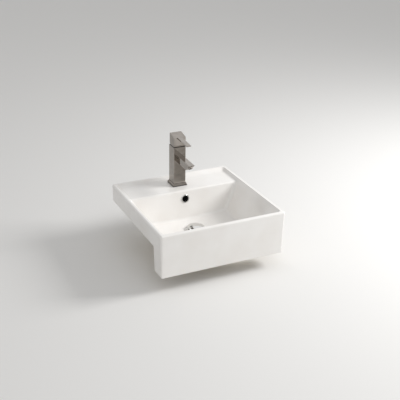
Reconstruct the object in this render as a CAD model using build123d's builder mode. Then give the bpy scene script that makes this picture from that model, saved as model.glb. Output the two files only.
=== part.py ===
from build123d import *
from math import atan2, cos, degrees, hypot, radians, sin, tan
import os

# Semi-recessed square washbasin with a single-lever mixer tap and a press-to-close waste.
# Millimetres. X to the right, Y to the back, Z up. The origin is on the countertop plane,
# on the centre line, at the front edge of the counter, which the back of the apron meets.

os.makedirs("parts", exist_ok=True)

# Basin, outside
basin_width = 467.0
basin_depth = 463.0
apron_reach = 66.0
apron_drop = 95.5
rim_height = 64.5
rim_width = 12.0
side_taper = 1.8
plan_corner = 8.0
rim_outer_round = 6.5
rim_inner_round = 2.5
lower_edge_round = 3.0
apron_wall = 12.0
back_wall = 10.0
counter_relief = 1.0

# Bowl and tap deck
side_lean = 27.0
front_lean = 20.0
back_lean = 8.0
bowl_wall = 10.0
corner_blend = 13.0
deck_cove = 31.0
floor_blend = 11.0
deck_drop = 10.5
deck_length = 136.0
deck_thickness = 13.0
deck_edge_round = 7.0
floor_height = -61.0
floor_fall = 4.6
floor_thickness = 12.0
boss_radius = 39.0

# Overflow
overflow_height = 22.0
overflow_hole_radius = 13.2
overflow_ring_radius = 16.5
overflow_ring_lip = 2.0
overflow_bore_radius = 12.2
overflow_ring_length = 9.0
duct_half_width = 18.0
duct_depth = 12.0
duct_wall = 8.0
duct_top = 40.0
duct_gap_behind_bowl = 2.0

# Waste
waste_setback = 98.0
waste_hole_radius = 23.0
flange_radius = 33.0
flange_thickness = 2.5
flange_recess = 2.0
flange_recess_gap = 1.5
top_seal_thickness = 1.5
top_seal_width = 8.0
throat_radius = 17.0
throat_length = 14.0
throat_wall = 1.2
waste_tube_radius = 20.95
waste_tube_length = 84.0
outlet_radius = 20.6
outlet_length = 30.0
slot_width = 9.0
slot_count = 4
bottom_seal_thickness = 6.0
bottom_seal_radius = 33.0
seal_taper = 20.0
slip_washer_thickness = 1.5
backnut_thickness = 11.0
backnut_across_flats = 58.0
thread_gap = 0.15

# Plug
plug_travel = 7.0
plug_radius = 30.0
plug_dome = 8.0
plug_edge = 2.4
plug_skin = 1.6
plug_seal_inner = 20.5
plug_seal_outer = 28.0
plug_seal_thickness = 2.2
plug_seal_crush_gap = 0.2
plug_stem_radius = 3.0
plug_boss_radius = 5.5
plug_boss_length = 5.0
barrel_radius = 7.5
barrel_wall = 1.5
barrel_length = 32.0
barrel_lid = 2.5
spider_thickness = 5.0
spider_rib = 3.0
spider_rim = 1.8
spider_below_slots = 4.0
stem_run_gap = 0.08
plug_foot_radius = 5.4
plug_foot_height = 3.0
spring_radius = 4.6
spring_wire = 0.8
spring_turns = 8
spring_end_gap = 0.3

# Tap, outside
tap_setback = 69.0
tap_hole_radius = 17.5
column_side = 46.0
column_round = 0.8
foot_side = 56.0
foot_height = 8.5
foot_lip = 1.0
foot_round = 0.6
foot_gap = 0.1
foot_top_wall = 1.2
base_gasket_thickness = 3.0
base_gasket_inset = 0.5
column_height = 149.5
head_gap = 3.0
spout_width = 22.0
spout_below_top = 31.5
spout_thickness = 26.0
spout_reach = 105.0
spout_under_reach = 76.0
spout_fall = 1.5
spout_edge_round = 0.8

# Tap, lever head
head_rear = 18.0
head_front_height = 34.5
head_slope = 12.0
head_wall = 3.0
head_roof = 6.0
head_edge_round = 1.0
blade_width = 18.0
blade_reach = 77.0
blade_root_thickness = 6.0
blade_tip_thickness = 4.0
blade_slope = 4.0
lift_angle = 18.0
lift_relief_start = 3.0
socket_side = 14.0
socket_start = 6.0
grub_screw_radius = 2.5
grub_screw_height = 16.0
grub_screw_length = 8.0
screw_cap_radius = 3.6
screw_cap_depth = 2.2

# Tap, inside
cartridge_radius = 17.5
cartridge_bore_gap = 0.2
cartridge_depth = 36.0
cartridge_base_height = 5.0
cartridge_lid = 1.9
cartridge_opening = 12.0
carrier_clearance = 0.4
fixed_disc_radius = 14.0
disc_height = 4.0
moving_disc_radius = 12.0
carrier_height = 4.9
carrier_slot_gap = 0.1
carrier_slot_width = 7.0
rotor_radius = 16.2
rotor_height = 11.0
rotor_bore_gap = 0.05
rotor_slot_length = 18.0
pivot_below_head = 15.0
stem_side = 8.0
stem_top_above_gap = 27.0
stem_ball_radius = 2.4
stem_neck_radius = 1.6
stem_arm = 7.8
stem_side_gap = 0.1
stem_pin_radius = 1.5
stem_pin_gap = 0.05
cap_nut_height = 4.5
cap_nut_bore = 12.5
port_radius = 2.5
port_seal_width = 2.0
port_seal_height = 1.6
supply_spacing = 8.0
supply_y_offset = -4.0
mixed_y_offset = 7.0
pocket_half = 5.5
inlet_radius = 4.6
inlet_depth = 12.0
inlet_spacing = 8.5
inlet_y_offset = 1.0
waterway_radius = 4.5
waterway_below_floor = 7.5
hose_space_height = 83.0
hose_space_low_height = 23.0
hose_space_front = -9.0
hose_space_low_front = -5.2
column_wall = 4.5
face_gap = 0.05

# Aerator
aerator_radius = 9.0
aerator_stand_out = 3.5
aerator_sink = 5.0
aerator_wall = 1.6
aerator_gap = 0.1
aerator_seal_height = 1.5
aerator_insert_length = 4.5
aerator_rings = 2
aerator_hole_radius = 0.7
aerator_hole_pitch = 2.2

# Tap fixing below the deck
stud_radius = 3.0
stud_spacing = 8.0
stud_y_offset = -9.5
stud_sunk = 12.0
stud_hang = 32.0
clamp_radius = 24.0
clamp_slot_half = 13.0
clamp_gasket_thickness = 3.0
clamp_plate_thickness = 3.0
nut_across_flats = 10.0
nut_height = 8.0
stud_hole_gap = 0.4

# Places worked out from the sizes
y_front = -apron_reach
y_back = basin_depth - apron_reach
y_middle = (y_front + y_back) / 2
total_height = rim_height + apron_drop
deck_height = rim_height - deck_drop
deck_front = y_back - deck_length
waste_y = deck_front - waste_setback
tap_y = y_back - tap_setback
boss_bottom = -apron_drop
deep = floor_height - 2 * floor_thickness
far = basin_width + basin_depth
deck_underside = deck_height - deck_thickness


def lean_shift(z_from, z_to, angle):
    """Sideways run of a leaning wall between two heights."""
    return (z_from - z_to) * tan(radians(angle))


def bowl_half(z, grow=0.0):
    """Half width of the bowl at height z, grown square to its wall."""
    inside = basin_width / 2 - rim_width - lean_shift(rim_height, z, side_lean)
    return inside + grow / cos(radians(side_lean))


def bowl_front(z, grow=0.0):
    inside = y_front + rim_width + lean_shift(rim_height, z, front_lean)
    return inside - grow / cos(radians(front_lean))


def bowl_back(z, grow=0.0):
    inside = deck_front - lean_shift(deck_height, z, back_lean)
    return inside + grow / cos(radians(back_lean))


def deck_back(z):
    return y_back - rim_width - lean_shift(rim_height, z, side_lean)


def floor_at(radius):
    """Height of the bowl's floor at a distance from the waste."""
    return floor_height + max(radius - flange_radius, 0.0) * tan(radians(floor_fall))


# Bowl: the space inside the basin, from rim to floor, with every inside corner blended.
mouth = rim_height + 2 * corner_blend
bowl_line = [
    (bowl_front(mouth), mouth),
    (bowl_front(deep), deep),
    (bowl_back(deep), deep),
    (deck_front, deck_height),
    (deck_back(deck_height), deck_height),
    (deck_back(mouth), mouth),
]
floor_line = [
    (0, deep - 1),
    (0, floor_height),
    (flange_radius + flange_recess_gap, floor_height),
    (far, floor_at(far)),
    (far, deep - 1),
]

with BuildPart() as bowl_space:
    with BuildSketch(Plane.YZ) as bowl_profile:
        with BuildLine():
            Polyline(*bowl_line, close=True)
        make_face()
        deck_level = (Axis.Y, deck_height - 1, deck_height + 1)
        fillet(bowl_profile.vertices().filter_by_position(*deck_level).sort_by(Axis.X)[-1], deck_cove)
        fillet(bowl_profile.vertices().filter_by_position(*deck_level).sort_by(Axis.X)[0], deck_edge_round)
    extrude(amount=basin_width, both=True)
    with BuildSketch(Plane.XZ):
        with BuildLine():
            Polyline(
                (-bowl_half(mouth), mouth),
                (bowl_half(mouth), mouth),
                (bowl_half(deep), deep),
                (-bowl_half(deep), deep),
                close=True,
            )
        make_face()
    extrude(amount=far, both=True, mode=Mode.INTERSECT)
    with BuildSketch(Plane.XZ.offset(-waste_y)):
        with BuildLine():
            Polyline(*floor_line, close=True)
        make_face()
    revolve(axis=Axis((0, waste_y, 0), (0, 0, 1)), mode=Mode.SUBTRACT)
    side_corners = (
        bowl_space.edges()
        .filter_by(lambda e: abs(abs((e @ 0.5).X) - bowl_half((e @ 0.5).Z)) < 0.01)
        .filter_by_position(Axis.Z, floor_height + 25, mouth - 1)
    )
    fillet(side_corners, corner_blend)
    floor_edges = (
        bowl_space.edges()
        .filter_by_position(Axis.Z, floor_height, floor_at(basin_width / 2) + 4)
        .filter_by(lambda e: hypot((e @ 0.5).X, (e @ 0.5).Y - waste_y) > 2 * flange_radius)
    )
    fillet(floor_edges, floor_blend)


# Bowl wall: the bowl's own shell below the deck, its underside following the floor.
shell_top = deck_underside + 2
under_floor_line = [
    (0, deep - 1),
    (0, floor_height - floor_thickness),
    (far, floor_at(far) - floor_thickness),
    (far, deep - 1),
]

with BuildPart() as bowl_shell:
    with BuildSketch(Plane.YZ):
        with BuildLine():
            Polyline(
                (bowl_front(shell_top, bowl_wall), shell_top),
                (bowl_front(deep, bowl_wall), deep),
                (bowl_back(deep, bowl_wall), deep),
                (bowl_back(shell_top, bowl_wall), shell_top),
                close=True,
            )
        make_face()
    extrude(amount=basin_width, both=True)
    with BuildSketch(Plane.XZ):
        with BuildLine():
            Polyline(
                (-bowl_half(shell_top, bowl_wall), shell_top),
                (bowl_half(shell_top, bowl_wall), shell_top),
                (bowl_half(deep, bowl_wall), deep),
                (-bowl_half(deep, bowl_wall), deep),
                close=True,
            )
        make_face()
    extrude(amount=far, both=True, mode=Mode.INTERSECT)
    with BuildSketch(Plane.XZ.offset(-waste_y)):
        with BuildLine():
            Polyline(*under_floor_line, close=True)
        make_face()
    revolve(axis=Axis((0, waste_y, 0), (0, 0, 1)), mode=Mode.SUBTRACT)
    shell_corners = bowl_shell.edges().filter_by(
        lambda e: abs(abs((e @ 0.5).X) - bowl_half((e @ 0.5).Z, bowl_wall)) < 0.01
        and e.bounding_box().size.Z > 2 * floor_thickness
    )
    fillet(shell_corners, corner_blend)

# Overflow duct: a box-section passage cast behind the bowl and under its floor.
duct_front = bowl_back(overflow_height, bowl_wall) + duct_gap_behind_bowl
duct_back = duct_front + duct_depth
duct_floor = boss_bottom + duct_wall
duct_roof = duct_floor + duct_depth
duct_outer_half = duct_half_width + duct_wall
overflow_plane = Plane(
    origin=(0, bowl_back(overflow_height), overflow_height),
    x_dir=(1, 0, 0),
    z_dir=(0, -cos(radians(back_lean)), sin(radians(back_lean))),
)

with BuildPart() as duct_shell:
    with BuildSketch(Plane.YZ):
        with BuildLine():
            Polyline(
                (waste_y, boss_bottom),
                (duct_back + duct_wall, boss_bottom),
                (duct_back + duct_wall, deck_underside + 2),
                (bowl_back(deck_underside), deck_underside + 2),
                (bowl_back(floor_height), floor_height),
                (waste_y, floor_height - flange_recess - 2),
                close=True,
            )
        make_face()
    extrude(amount=duct_outer_half, both=True)

with BuildPart() as duct_space:
    with BuildSketch(Plane.YZ):
        with BuildLine():
            Polyline(
                (waste_y, duct_floor),
                (duct_back, duct_floor),
                (duct_back, duct_top),
                (duct_front, duct_top),
                (duct_front, duct_roof),
                (waste_y, duct_roof),
                close=True,
            )
        make_face()
    extrude(amount=duct_half_width, both=True)

# Basin: one fired-clay casting. Rim and apron, open hollows underneath, bowl, duct and holes.
under_side = total_height * tan(radians(side_taper))
deck_hollow_half = bowl_half(deck_underside) - apron_wall
relief_top = floor_at(waste_y)
relief_bottom = floor_height - floor_thickness

with BuildPart() as basin:
    with BuildSketch(Plane.XY.offset(rim_height)):
        with Locations((0, y_middle)):
            RectangleRounded(basin_width, basin_depth, plan_corner)
    extrude(amount=-total_height, taper=side_taper)
    fillet(basin.edges().group_by(Axis.Z)[-1], rim_outer_round)
    with BuildSketch(Plane.YZ):
        with Locations((far / 2, -far / 2)):
            Rectangle(far, far)
    extrude(amount=far, both=True, mode=Mode.SUBTRACT)
    foot_edges = basin.edges().filter_by_position(Axis.Z, -apron_drop - 0.1, -apron_drop + 0.1)
    fillet(foot_edges, lower_edge_round)
    with BuildSketch(Plane.YZ):
        with BuildLine():
            Polyline(
                (y_front + apron_wall, -apron_drop - 1),
                (-apron_wall, -apron_drop - 1),
                (-apron_wall, deck_underside),
                (y_front + apron_wall, deck_underside),
                close=True,
            )
        make_face()
        with BuildLine():
            Polyline(
                (bowl_back(deep), -1),
                (y_back - back_wall - under_side / 2, -1),
                (y_back - back_wall - under_side / 2, deck_underside),
                (bowl_back(deep), deck_underside),
                close=True,
            )
        make_face()
    extrude(amount=deck_hollow_half, both=True, mode=Mode.SUBTRACT)
    with BuildSketch(Plane.XZ):
        with Locations((0, (relief_top + relief_bottom) / 2)):
            Rectangle(2 * bowl_half(relief_top, bowl_wall), relief_top - relief_bottom)
    extrude(amount=counter_relief, mode=Mode.SUBTRACT)
    add(bowl_shell.part)
    with Locations((0, waste_y, boss_bottom)):
        boss_height = floor_height - flange_recess - boss_bottom
        Cylinder(boss_radius, boss_height, align=(Align.CENTER, Align.CENTER, Align.MIN))
    add(duct_shell.part)
    add(bowl_space.part, mode=Mode.SUBTRACT)
    add(duct_space.part, mode=Mode.SUBTRACT)
    rim_inner_edges = basin.edges().filter_by(
        lambda e: abs(e.center().Z - rim_height) < 0.01
        and e.bounding_box().size.Z < 0.01
        and abs((e @ 0.5).X) < bowl_half(rim_height) + 1
        and bowl_front(rim_height) - 1 < (e @ 0.5).Y < deck_back(rim_height) + 1
    )
    fillet(rim_inner_edges, rim_inner_round)
    with BuildSketch(Plane.XY.offset(floor_height)):
        with Locations((0, waste_y)):
            Circle(flange_radius + flange_recess_gap)
    extrude(amount=-flange_recess, mode=Mode.SUBTRACT)
    with BuildSketch(Plane.XY.offset(boss_bottom)):
        with Locations((0, waste_y)):
            Circle(waste_hole_radius)
    extrude(amount=floor_height - boss_bottom, mode=Mode.SUBTRACT)
    with BuildSketch(overflow_plane):
        Circle(overflow_hole_radius)
    extrude(amount=-(bowl_wall + duct_gap_behind_bowl + 3), mode=Mode.SUBTRACT)
    with BuildSketch(Plane.XY.offset(deck_height)):
        with Locations((0, tap_y)):
            Circle(tap_hole_radius)
    extrude(amount=-2 * deck_thickness, mode=Mode.SUBTRACT)
basin.part.label = "basin"
export_step(basin.part, "parts/basin.step")

# Overflow ring: the chromed bush pressed in the overflow hole.
with BuildPart() as overflow_ring:
    with BuildSketch(overflow_plane.offset(face_gap)):
        Circle(overflow_ring_radius)
        Circle(overflow_bore_radius, mode=Mode.SUBTRACT)
    extrude(amount=overflow_ring_lip)
    lip_edges = overflow_ring.edges().filter_by(GeomType.CIRCLE)
    fillet(lip_edges.sort_by(lambda e: e.length)[-2:].sort_by(Axis.Y)[0], overflow_ring_lip * 0.8)
    with BuildSketch(overflow_plane.offset(face_gap)):
        Circle(overflow_hole_radius - thread_gap)
        Circle(overflow_bore_radius, mode=Mode.SUBTRACT)
    extrude(amount=-overflow_ring_length)
overflow_ring.part.label = "overflow_ring"
export_step(overflow_ring.part, "parts/overflow_ring.step")

# Waste: flange with its throat, seals, tube, slip washer and backnut, on one upright line.
waste_axis = Axis((0, waste_y, 0), (0, 0, 1))
waste_section = Plane.XZ.offset(-waste_y)
recess_floor = floor_height - flange_recess
flange_under = recess_floor + top_seal_thickness
flange_top = flange_under + flange_thickness
throat_outer = throat_radius + throat_wall
throat_bottom = flange_under - throat_length
waste_tube_top = flange_under - flange_thickness
waste_tube_bottom = waste_tube_top - waste_tube_length
slip_washer_bottom = boss_bottom - bottom_seal_thickness - slip_washer_thickness


def over_waste(height):
    """A level plane at this height, centred on the waste."""
    return Plane((0, waste_y, height))


with BuildPart() as waste_flange:
    with BuildSketch(waste_section):
        with BuildLine():
            Polyline(
                (flange_radius - flange_thickness / 2, flange_top),
                (flange_radius, flange_top - flange_thickness / 2),
                (flange_radius, flange_under),
                (waste_tube_radius - thread_gap, flange_under),
                (throat_outer, waste_tube_top),
                (throat_outer, throat_bottom),
                (throat_radius, throat_bottom),
                (throat_radius, flange_under - flange_thickness / 2),
                (waste_tube_radius + flange_thickness, flange_top),
                close=True,
            )
        make_face()
    revolve(axis=waste_axis)
waste_flange.part.label = "waste_flange"
export_step(waste_flange.part, "parts/waste_flange.step")

with BuildPart() as waste_top_seal:
    with BuildSketch(over_waste(recess_floor)):
        Circle(flange_radius - 1)
        Circle(flange_radius - 1 - top_seal_width, mode=Mode.SUBTRACT)
    extrude(amount=top_seal_thickness)
waste_top_seal.part.label = "waste_top_seal"
export_step(waste_top_seal.part, "parts/waste_top_seal.step")

with BuildPart() as waste_tube:
    with BuildSketch(over_waste(waste_tube_bottom)):
        Circle(outlet_radius)
    extrude(amount=outlet_length)
    with BuildSketch(over_waste(waste_tube_bottom + outlet_length)):
        Circle(waste_tube_radius)
    extrude(amount=waste_tube_length - outlet_length)
    with BuildSketch(over_waste(waste_tube_bottom)):
        Circle(throat_radius)
    extrude(amount=waste_tube_length, mode=Mode.SUBTRACT)
    with BuildSketch(over_waste(waste_tube_top)):
        Circle(throat_outer + thread_gap)
    extrude(amount=-throat_length, mode=Mode.SUBTRACT)
    with BuildSketch(over_waste(duct_floor)):
        with PolarLocations(waste_tube_radius, slot_count, start_angle=90):
            Rectangle(waste_tube_radius, slot_width)
    extrude(amount=duct_depth, mode=Mode.SUBTRACT)
waste_tube.part.label = "waste_tube"
export_step(waste_tube.part, "parts/waste_tube.step")

with BuildPart() as waste_bottom_seal:
    with BuildSketch(over_waste(boss_bottom)):
        Circle(bottom_seal_radius)
    extrude(amount=-bottom_seal_thickness, taper=seal_taper)
    with BuildSketch(over_waste(boss_bottom)):
        Circle(waste_tube_radius + thread_gap)
    extrude(amount=-bottom_seal_thickness, mode=Mode.SUBTRACT)
waste_bottom_seal.part.label = "waste_bottom_seal"
export_step(waste_bottom_seal.part, "parts/waste_bottom_seal.step")

with BuildPart() as waste_slip_washer:
    with BuildSketch(over_waste(slip_washer_bottom)):
        Circle(bottom_seal_radius - 1)
        Circle(waste_tube_radius + thread_gap, mode=Mode.SUBTRACT)
    extrude(amount=slip_washer_thickness)
waste_slip_washer.part.label = "waste_slip_washer"
export_step(waste_slip_washer.part, "parts/waste_slip_washer.step")

with BuildPart() as waste_backnut:
    with BuildSketch(over_waste(slip_washer_bottom)):
        RegularPolygon(backnut_across_flats / 2, 6, major_radius=False)
        Circle(waste_tube_radius + thread_gap, mode=Mode.SUBTRACT)
    extrude(amount=-backnut_thickness)
    chamfer(waste_backnut.faces().sort_by(Axis.Z)[0].outer_wire().edges(), 1)
waste_backnut.part.label = "waste_backnut"
export_step(waste_backnut.part, "parts/waste_backnut.step")

# Plug: a domed cap on a sprung stem, carried by a barrel in a three-legged spider.
# It is drawn open, standing one travel above its seat.
plug_seal_bottom = flange_top + plug_seal_crush_gap + plug_travel
plug_land = plug_seal_bottom + plug_seal_thickness
plug_rim = plug_seal_bottom + plug_seal_crush_gap
plug_top = plug_rim + plug_dome
dome_sag = plug_dome - plug_edge
dome_radius = (plug_radius**2 + dome_sag**2) / (2 * dome_sag)
dome_turn = degrees(atan2(plug_radius, dome_radius - dome_sag))
skin_start = plug_seal_inner - 1
skin_height = plug_top - plug_skin - (dome_radius - (dome_radius**2 - skin_start**2) ** 0.5)
barrel_top = waste_tube_top
barrel_bottom = barrel_top - barrel_length
plug_foot_top = barrel_top - barrel_lid - face_gap
plug_foot_bottom = plug_foot_top - plug_foot_height
spider_bottom = duct_floor - spider_below_slots - spider_thickness

with BuildPart() as plug_cap:
    with BuildSketch(waste_section):
        with BuildLine():
            CenterArc((0, plug_top - dome_radius), dome_radius, 90 - dome_turn, dome_turn)
            Polyline(
                (plug_radius, plug_top - dome_sag),
                (plug_radius, plug_rim + plug_edge / 4),
                (plug_radius - plug_edge / 4, plug_rim),
                (plug_seal_outer + thread_gap, plug_rim),
                (plug_seal_outer + thread_gap, plug_land),
                (skin_start, plug_land),
                (skin_start, skin_height),
                (plug_boss_radius, plug_top - plug_skin),
                (plug_boss_radius, plug_land - plug_boss_length),
                (plug_stem_radius + face_gap, plug_land - plug_boss_length),
                (plug_stem_radius + face_gap, plug_top - 2 * plug_skin),
                (0, plug_top - 2 * plug_skin),
                (0, plug_top),
            )
        make_face()
    revolve(axis=waste_axis)
plug_cap.part.label = "plug_cap"
export_step(plug_cap.part, "parts/plug_cap.step")

with BuildPart() as plug_seal:
    with BuildSketch(over_waste(plug_seal_bottom)):
        Circle(plug_seal_outer)
        Circle(plug_seal_inner, mode=Mode.SUBTRACT)
    extrude(amount=plug_seal_thickness)
plug_seal.part.label = "plug_seal"
export_step(plug_seal.part, "parts/plug_seal.step")

with BuildPart() as plug_stem:
    with BuildSketch(over_waste(plug_foot_bottom)):
        Circle(plug_foot_radius)
    extrude(amount=plug_foot_height)
    with BuildSketch(over_waste(plug_foot_top)):
        Circle(plug_stem_radius)
    extrude(amount=plug_top - 2 * plug_skin - face_gap - plug_foot_top)
plug_stem.part.label = "plug_stem"
export_step(plug_stem.part, "parts/plug_stem.step")

with BuildPart() as plug_barrel:
    with BuildSketch(over_waste(barrel_bottom)):
        Circle(barrel_radius)
    extrude(amount=barrel_length)
    with BuildSketch(over_waste(barrel_bottom + barrel_wall)):
        Circle(barrel_radius - barrel_wall)
    extrude(amount=barrel_length - barrel_wall - barrel_lid, mode=Mode.SUBTRACT)
    with BuildSketch(over_waste(barrel_top)):
        Circle(plug_stem_radius + stem_run_gap)
    extrude(amount=-barrel_lid, mode=Mode.SUBTRACT)
plug_barrel.part.label = "plug_barrel"
export_step(plug_barrel.part, "parts/plug_barrel.step")

with BuildPart() as plug_spider:
    rib_start = barrel_radius + thread_gap + spider_rim / 2
    rib_end = throat_radius - spider_rim / 2
    with BuildSketch(over_waste(spider_bottom)):
        Circle(throat_radius - face_gap)
        Circle(throat_radius - spider_rim, mode=Mode.SUBTRACT)
        Circle(barrel_radius + thread_gap + spider_rim)
        with PolarLocations((rib_start + rib_end) / 2, 3):
            Rectangle(rib_end - rib_start, spider_rib)
        Circle(barrel_radius + thread_gap, mode=Mode.SUBTRACT)
    extrude(amount=spider_thickness)
plug_spider.part.label = "plug_spider"
export_step(plug_spider.part, "parts/plug_spider.step")

spring_bottom = barrel_bottom + barrel_wall + spring_end_gap + spring_wire / 2
spring_top = plug_foot_bottom - spring_end_gap - spring_wire / 2
spring_pitch = (spring_top - spring_bottom) / spring_turns
with BuildPart() as plug_spring:
    with BuildLine():
        Helix(spring_pitch, spring_top - spring_bottom, spring_radius, center=(0, waste_y, spring_bottom))
    with BuildSketch(Plane(origin=(spring_radius, waste_y, spring_bottom), z_dir=(0, 1, 0))):
        Circle(spring_wire / 2)
    sweep(is_frenet=True)
plug_spring.part.label = "plug_spring"
export_step(plug_spring.part, "parts/plug_spring.step")
print("spring gap between turns", round(spring_pitch - spring_wire, 2))

# Tap: places along its upright line, from the deck to the lever.
tap_axis = Axis((0, tap_y, 0), (0, 0, 1))
column_bottom = deck_height + base_gasket_thickness
column_top = column_bottom + column_height
column_front = tap_y - column_side / 2
hose_space_step = column_bottom + hose_space_low_height
hose_space_top = column_bottom + hose_space_height
cartridge_floor = column_top - cartridge_depth
cartridge_base_top = cartridge_floor + cartridge_base_height
fixed_disc_bottom = cartridge_base_top + face_gap
moving_disc_bottom = fixed_disc_bottom + disc_height + face_gap
carrier_bottom = moving_disc_bottom + disc_height + face_gap
rotor_bottom = carrier_bottom + carrier_height + carrier_clearance
housing_ceiling = rotor_bottom + rotor_height + face_gap
housing_inner = rotor_radius + rotor_bore_gap
cap_nut_bottom = column_top - cap_nut_height
head_bottom = column_top + head_gap
pivot_height = head_bottom - pivot_below_head
ball_height = pivot_height - stem_arm
stem_top = head_bottom + stem_top_above_gap
stem_square_bottom = pivot_height - stem_side / 2


def over_tap(height):
    """A level plane at this height, centred on the tap."""
    return Plane((0, tap_y, height))


supply_places = [(-supply_spacing, supply_y_offset), (supply_spacing, supply_y_offset)]
port_places = supply_places + [(0, mixed_y_offset)]
inlet_places = [(-inlet_spacing, inlet_y_offset), (inlet_spacing, inlet_y_offset)]
stud_places = [(-stud_spacing, stud_y_offset), (stud_spacing, stud_y_offset)]

# Spout, in side view: the top and the underside fall a little, the end is cut off at a slant.
spout_root_top = column_top - spout_below_top
spout_tip_y = column_front - spout_reach
spout_heel_y = column_front - spout_under_reach
spout_tip_z = spout_root_top - spout_reach * tan(radians(spout_fall))
spout_root_under = spout_root_top - spout_thickness
spout_heel_z = spout_root_under - spout_under_reach * tan(radians(spout_fall))
spout_rear = column_front + 2 * column_round
slant = hypot(spout_heel_y - spout_tip_y, spout_tip_z - spout_heel_z)
aerator_normal = (0, (spout_heel_z - spout_tip_z) / slant, (spout_tip_y - spout_heel_y) / slant)
aerator_plane = Plane(
    origin=(0, (spout_tip_y + spout_heel_y) / 2, (spout_tip_z + spout_heel_z) / 2),
    x_dir=(1, 0, 0),
    z_dir=aerator_normal,
)
socket_depth = aerator_sink + aerator_seal_height
waterway_start = tap_y + mixed_y_offset + port_radius
waterway_end = aerator_plane.origin.Y - aerator_normal[1] * socket_depth + aerator_sink / 2
waterway_plane = Plane(
    origin=(0, waterway_start, cartridge_floor - waterway_below_floor),
    x_dir=(1, 0, 0),
    z_dir=(0, -cos(radians(spout_fall)), -sin(radians(spout_fall))),
)

# Column and spout in one casting, with the hose space, the waterways and the cartridge bore.
with BuildPart() as tap_body:
    with BuildSketch(Plane.YZ):
        with BuildLine():
            Polyline(
                (spout_rear, spout_root_top),
                (column_front, spout_root_top),
                (spout_tip_y, spout_tip_z),
                (spout_heel_y, spout_heel_z),
                (column_front, spout_root_under),
                (spout_rear, spout_root_under),
                close=True,
            )
        make_face()
    extrude(amount=spout_width / 2, both=True)
    spout_edges = tap_body.edges().filter_by_position(Axis.Y, spout_tip_y - 1, spout_rear - 0.1)
    fillet(spout_edges, spout_edge_round)
    with BuildSketch(over_tap(column_bottom)):
        RectangleRounded(column_side, column_side, column_round)
    extrude(amount=column_top - column_bottom)
    with BuildSketch(over_tap(cartridge_floor)):
        Circle(cartridge_radius + cartridge_bore_gap)
    extrude(amount=column_top - cartridge_floor, mode=Mode.SUBTRACT)
    with BuildSketch(Plane.YZ):
        with BuildLine():
            Polyline(
                (tap_y + hose_space_low_front, column_bottom),
                (tap_y + hose_space_low_front, hose_space_step),
                (tap_y + hose_space_front, hose_space_step),
                (tap_y + hose_space_front, hose_space_top),
                (tap_y + column_side / 2 - column_wall, hose_space_top),
                (tap_y + column_side / 2 - column_wall, column_bottom),
                close=True,
            )
        make_face()
    extrude(amount=column_side / 2 - column_wall, both=True, mode=Mode.SUBTRACT)
    with BuildSketch(over_tap(hose_space_top)):
        with Locations(*inlet_places):
            Circle(inlet_radius)
    extrude(amount=inlet_depth, mode=Mode.SUBTRACT)
    with BuildSketch(over_tap(cartridge_floor)):
        with Locations(*supply_places):
            Circle(port_radius)
    extrude(amount=hose_space_top + inlet_depth - port_radius - cartridge_floor, mode=Mode.SUBTRACT)
    with BuildSketch(over_tap(cartridge_floor)):
        with Locations((0, mixed_y_offset)):
            Circle(port_radius)
    extrude(amount=-waterway_below_floor, mode=Mode.SUBTRACT)
    with BuildSketch(waterway_plane):
        Circle(waterway_radius)
    extrude(amount=waterway_start - waterway_end, mode=Mode.SUBTRACT)
    with BuildSketch(aerator_plane):
        Circle(aerator_radius + aerator_gap)
    extrude(amount=-socket_depth, mode=Mode.SUBTRACT)
    with BuildSketch(over_tap(column_bottom)):
        with Locations(*stud_places):
            Circle(stud_radius + face_gap)
    extrude(amount=stud_sunk, mode=Mode.SUBTRACT)
tap_body.part.label = "tap_body"
export_step(tap_body.part, "parts/tap_body.step")

with BuildPart() as tap_base_gasket:
    with BuildSketch(over_tap(deck_height)):
        Rectangle(foot_side - 2 * base_gasket_inset, foot_side - 2 * base_gasket_inset)
        Circle(tap_hole_radius, mode=Mode.SUBTRACT)
    extrude(amount=base_gasket_thickness)
tap_base_gasket.part.label = "tap_base_gasket"
export_step(tap_base_gasket.part, "parts/tap_base_gasket.step")

# Foot: a square skirt round the column, flared out to the deck.
with BuildPart() as tap_foot:
    foot_top_side = column_side + 2 * foot_gap + 2 * foot_top_wall
    with BuildSketch(over_tap(column_bottom)):
        RectangleRounded(foot_side, foot_side, foot_round)
    extrude(amount=foot_lip)
    with BuildSketch(over_tap(column_bottom + foot_lip)):
        RectangleRounded(foot_side, foot_side, foot_round)
    with BuildSketch(over_tap(column_bottom + foot_height)):
        RectangleRounded(foot_top_side, foot_top_side, foot_round)
    loft()
    with BuildSketch(over_tap(column_bottom)):
        RectangleRounded(column_side + 2 * foot_gap, column_side + 2 * foot_gap, column_round)
    extrude(amount=foot_height, mode=Mode.SUBTRACT)
tap_foot.part.label = "tap_foot"
export_step(tap_foot.part, "parts/tap_foot.step")

# Cartridge: base with its port seals, two ceramic discs, carrier, rotor, housing and nut.
with BuildPart() as port_seal:
    with BuildSketch(over_tap(cartridge_floor + face_gap)):
        with Locations(*port_places):
            Circle(port_radius + port_seal_width)
            Circle(port_radius, mode=Mode.SUBTRACT)
    extrude(amount=port_seal_height)
port_seal.part.label = "port_seal"
export_step(port_seal.part, "parts/port_seal.step")

with BuildPart() as cartridge_base:
    with BuildSketch(over_tap(cartridge_floor + face_gap)):
        Circle(cartridge_radius)
        with Locations(*port_places):
            Circle(port_radius, mode=Mode.SUBTRACT)
    extrude(amount=cartridge_base_height - face_gap)
    with BuildSketch(over_tap(cartridge_floor + face_gap)):
        with Locations(*port_places):
            Circle(port_radius + port_seal_width + face_gap)
    extrude(amount=port_seal_height + face_gap, mode=Mode.SUBTRACT)
cartridge_base.part.label = "cartridge_base"
export_step(cartridge_base.part, "parts/cartridge_base.step")

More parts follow.
